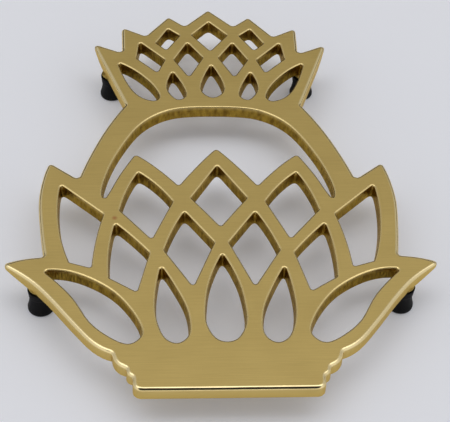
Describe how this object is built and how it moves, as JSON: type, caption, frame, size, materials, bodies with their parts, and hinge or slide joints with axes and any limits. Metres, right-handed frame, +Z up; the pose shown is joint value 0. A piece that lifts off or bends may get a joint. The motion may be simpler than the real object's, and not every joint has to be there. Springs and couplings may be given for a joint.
{
  "type": "trivet",
  "caption": "Flat openwork brass trivet shaped like a pineapple, with pointed leaves and lattice openings, standing on short posts in rubber boots.",
  "frame": {"origin": "on the table, under the middle of the plate's length and width", "axes": "+Z up, the pineapple's straight base faces -Y and its crown points to +Y, +X to the right seen from the base"},
  "size_m": [0.18, 0.2392, 0.0192],
  "materials": {
    "brass": "brushed satin top with polished outer edges, rough-cast openings",
    "rubber": "moulded black rubber, semi-matt"
  },
  "bodies": {
    "root": {"brass_plate": "brass", "boot_front_left": "rubber", "boot_front_right": "rubber", "boot_back_left": "rubber", "boot_back_right": "rubber"}
  },
  "joints": []
}
